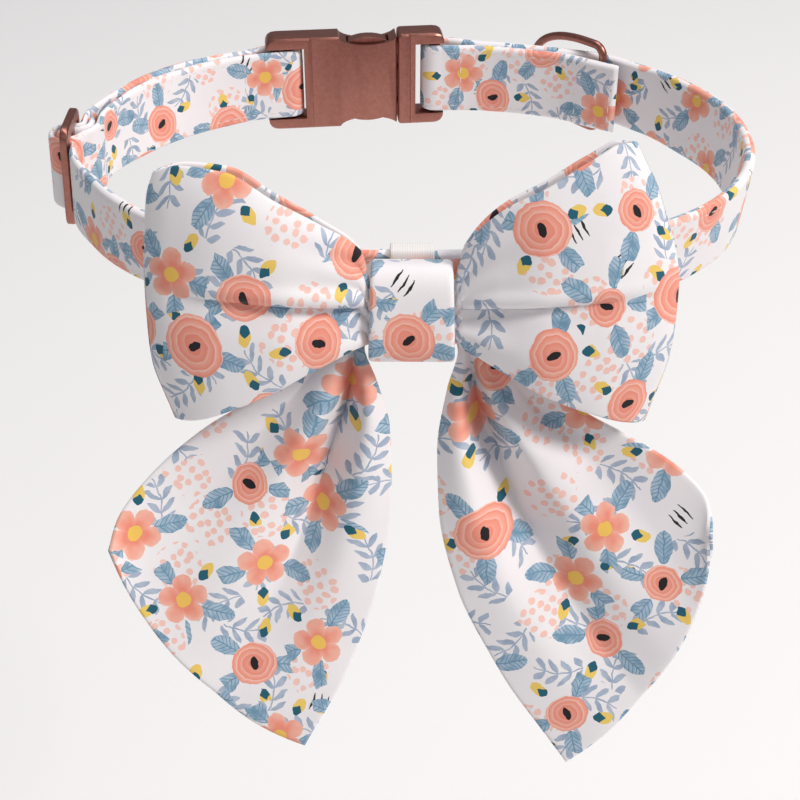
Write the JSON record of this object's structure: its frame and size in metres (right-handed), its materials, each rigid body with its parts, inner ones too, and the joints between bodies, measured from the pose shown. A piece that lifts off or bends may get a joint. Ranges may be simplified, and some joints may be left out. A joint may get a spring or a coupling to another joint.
{
  "type": "pet bow tie collar",
  "caption": "Printed cotton pet collar with a large sailor bow at the front, a side-release metal buckle, a strap slider and a swinging leash ring.",
  "frame": {"origin": "middle of the neck hole, halfway up the strap", "axes": "+Z along the neck, towards the strap's upper edge; -Y to the front, where the bow sits; +X to the side of the leash ring"},
  "size_m": [0.1813, 0.1804, 0.1382],
  "materials": {
    "printed_cotton": "plain-weave cotton with a small coral and blue flower print",
    "white_elastic": "plain white ribbed elastic",
    "rose_gold_metal": "rose-gold plated zinc, fine satin grain"
  },
  "bodies": {
    "collar": {"collar_strap": "printed_cotton", "buckle_socket": "rose_gold_metal", "buckle_prongs": "rose_gold_metal", "slider": "rose_gold_metal", "bow_loops": "printed_cotton", "bow_knot": "printed_cotton", "tail_left": "printed_cotton", "tail_right": "printed_cotton", "bow_elastic": "white_elastic"},
    "leash_ring": {"d_ring": "rose_gold_metal"}
  },
  "joints": [
    {"name": "leash_ring_swing", "type": "hinge", "parent": "collar", "child": "leash_ring", "pos_m": [0.05327, 0.04716, 0], "axis": [0, 0, -1], "range_deg": [-10, 140]}
  ]
}
